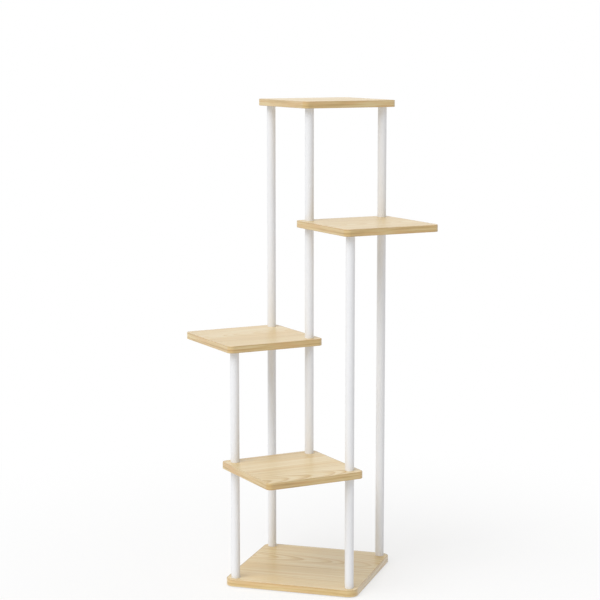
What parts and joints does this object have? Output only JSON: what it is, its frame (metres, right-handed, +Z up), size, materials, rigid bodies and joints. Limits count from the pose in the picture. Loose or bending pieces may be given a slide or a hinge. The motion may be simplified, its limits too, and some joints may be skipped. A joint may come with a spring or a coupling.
{
  "type": "tiered plant stand",
  "caption": "Free-standing plant stand with a square base board and smaller square shelves that climb in a spiral round slim round posts.",
  "frame": {"origin": "on the floor under the axis of the centre post, which is the middle of the stand's box", "axes": "+Z up, -Y is the front, over which the lowest shelf stands out, +X to the right"},
  "size_m": [0.563, 0.563, 1.037],
  "materials": {
    "board_wood": "pale natural wood grain, satin lacquer",
    "edge_band_wood": "wood-grain edge strip, satin",
    "white_tube": "white powder coat, satin",
    "bush_steel": "turned, plain",
    "screw_steel": "zinc plated",
    "insert_zinc": "yellow passivated",
    "pad_rubber": "matt foam rubber"
  },
  "bodies": {
    "root": {"base_board": "board_wood", "front_shelf": "board_wood", "left_shelf": "board_wood", "right_shelf": "board_wood", "top_shelf": "board_wood", "base_board_edge_band": "edge_band_wood", "front_shelf_edge_band": "edge_band_wood", "left_shelf_edge_band": "edge_band_wood", "right_shelf_edge_band": "edge_band_wood", "top_shelf_edge_band": "edge_band_wood", "front_left_lower_tube": "white_tube", "front_left_upper_tube": "white_tube", "front_right_lower_tube": "white_tube", "front_right_upper_tube": "white_tube", "back_right_lower_tube": "white_tube", "back_right_upper_tube": "white_tube", "back_left_lower_tube": "white_tube", "back_left_upper_tube": "white_tube", "centre_lower_tube": "white_tube", "centre_middle_tube": "white_tube", "centre_upper_tube": "white_tube", "front_left_threaded_bushes": "bush_steel", "front_right_threaded_bushes": "bush_steel", "back_right_threaded_bushes": "bush_steel", "back_left_threaded_bushes": "bush_steel", "centre_threaded_bushes": "bush_steel", "front_left_stud_bushes": "bush_steel", "front_right_stud_bushes": "bush_steel", "back_right_stud_bushes": "bush_steel", "back_left_stud_bushes": "bush_steel", "centre_stud_bushes": "bush_steel", "base_bolts": "screw_steel", "centre_bolt": "screw_steel", "insert_nuts": "insert_zinc", "anti_slip_pads": "pad_rubber"}
  },
  "joints": []
}
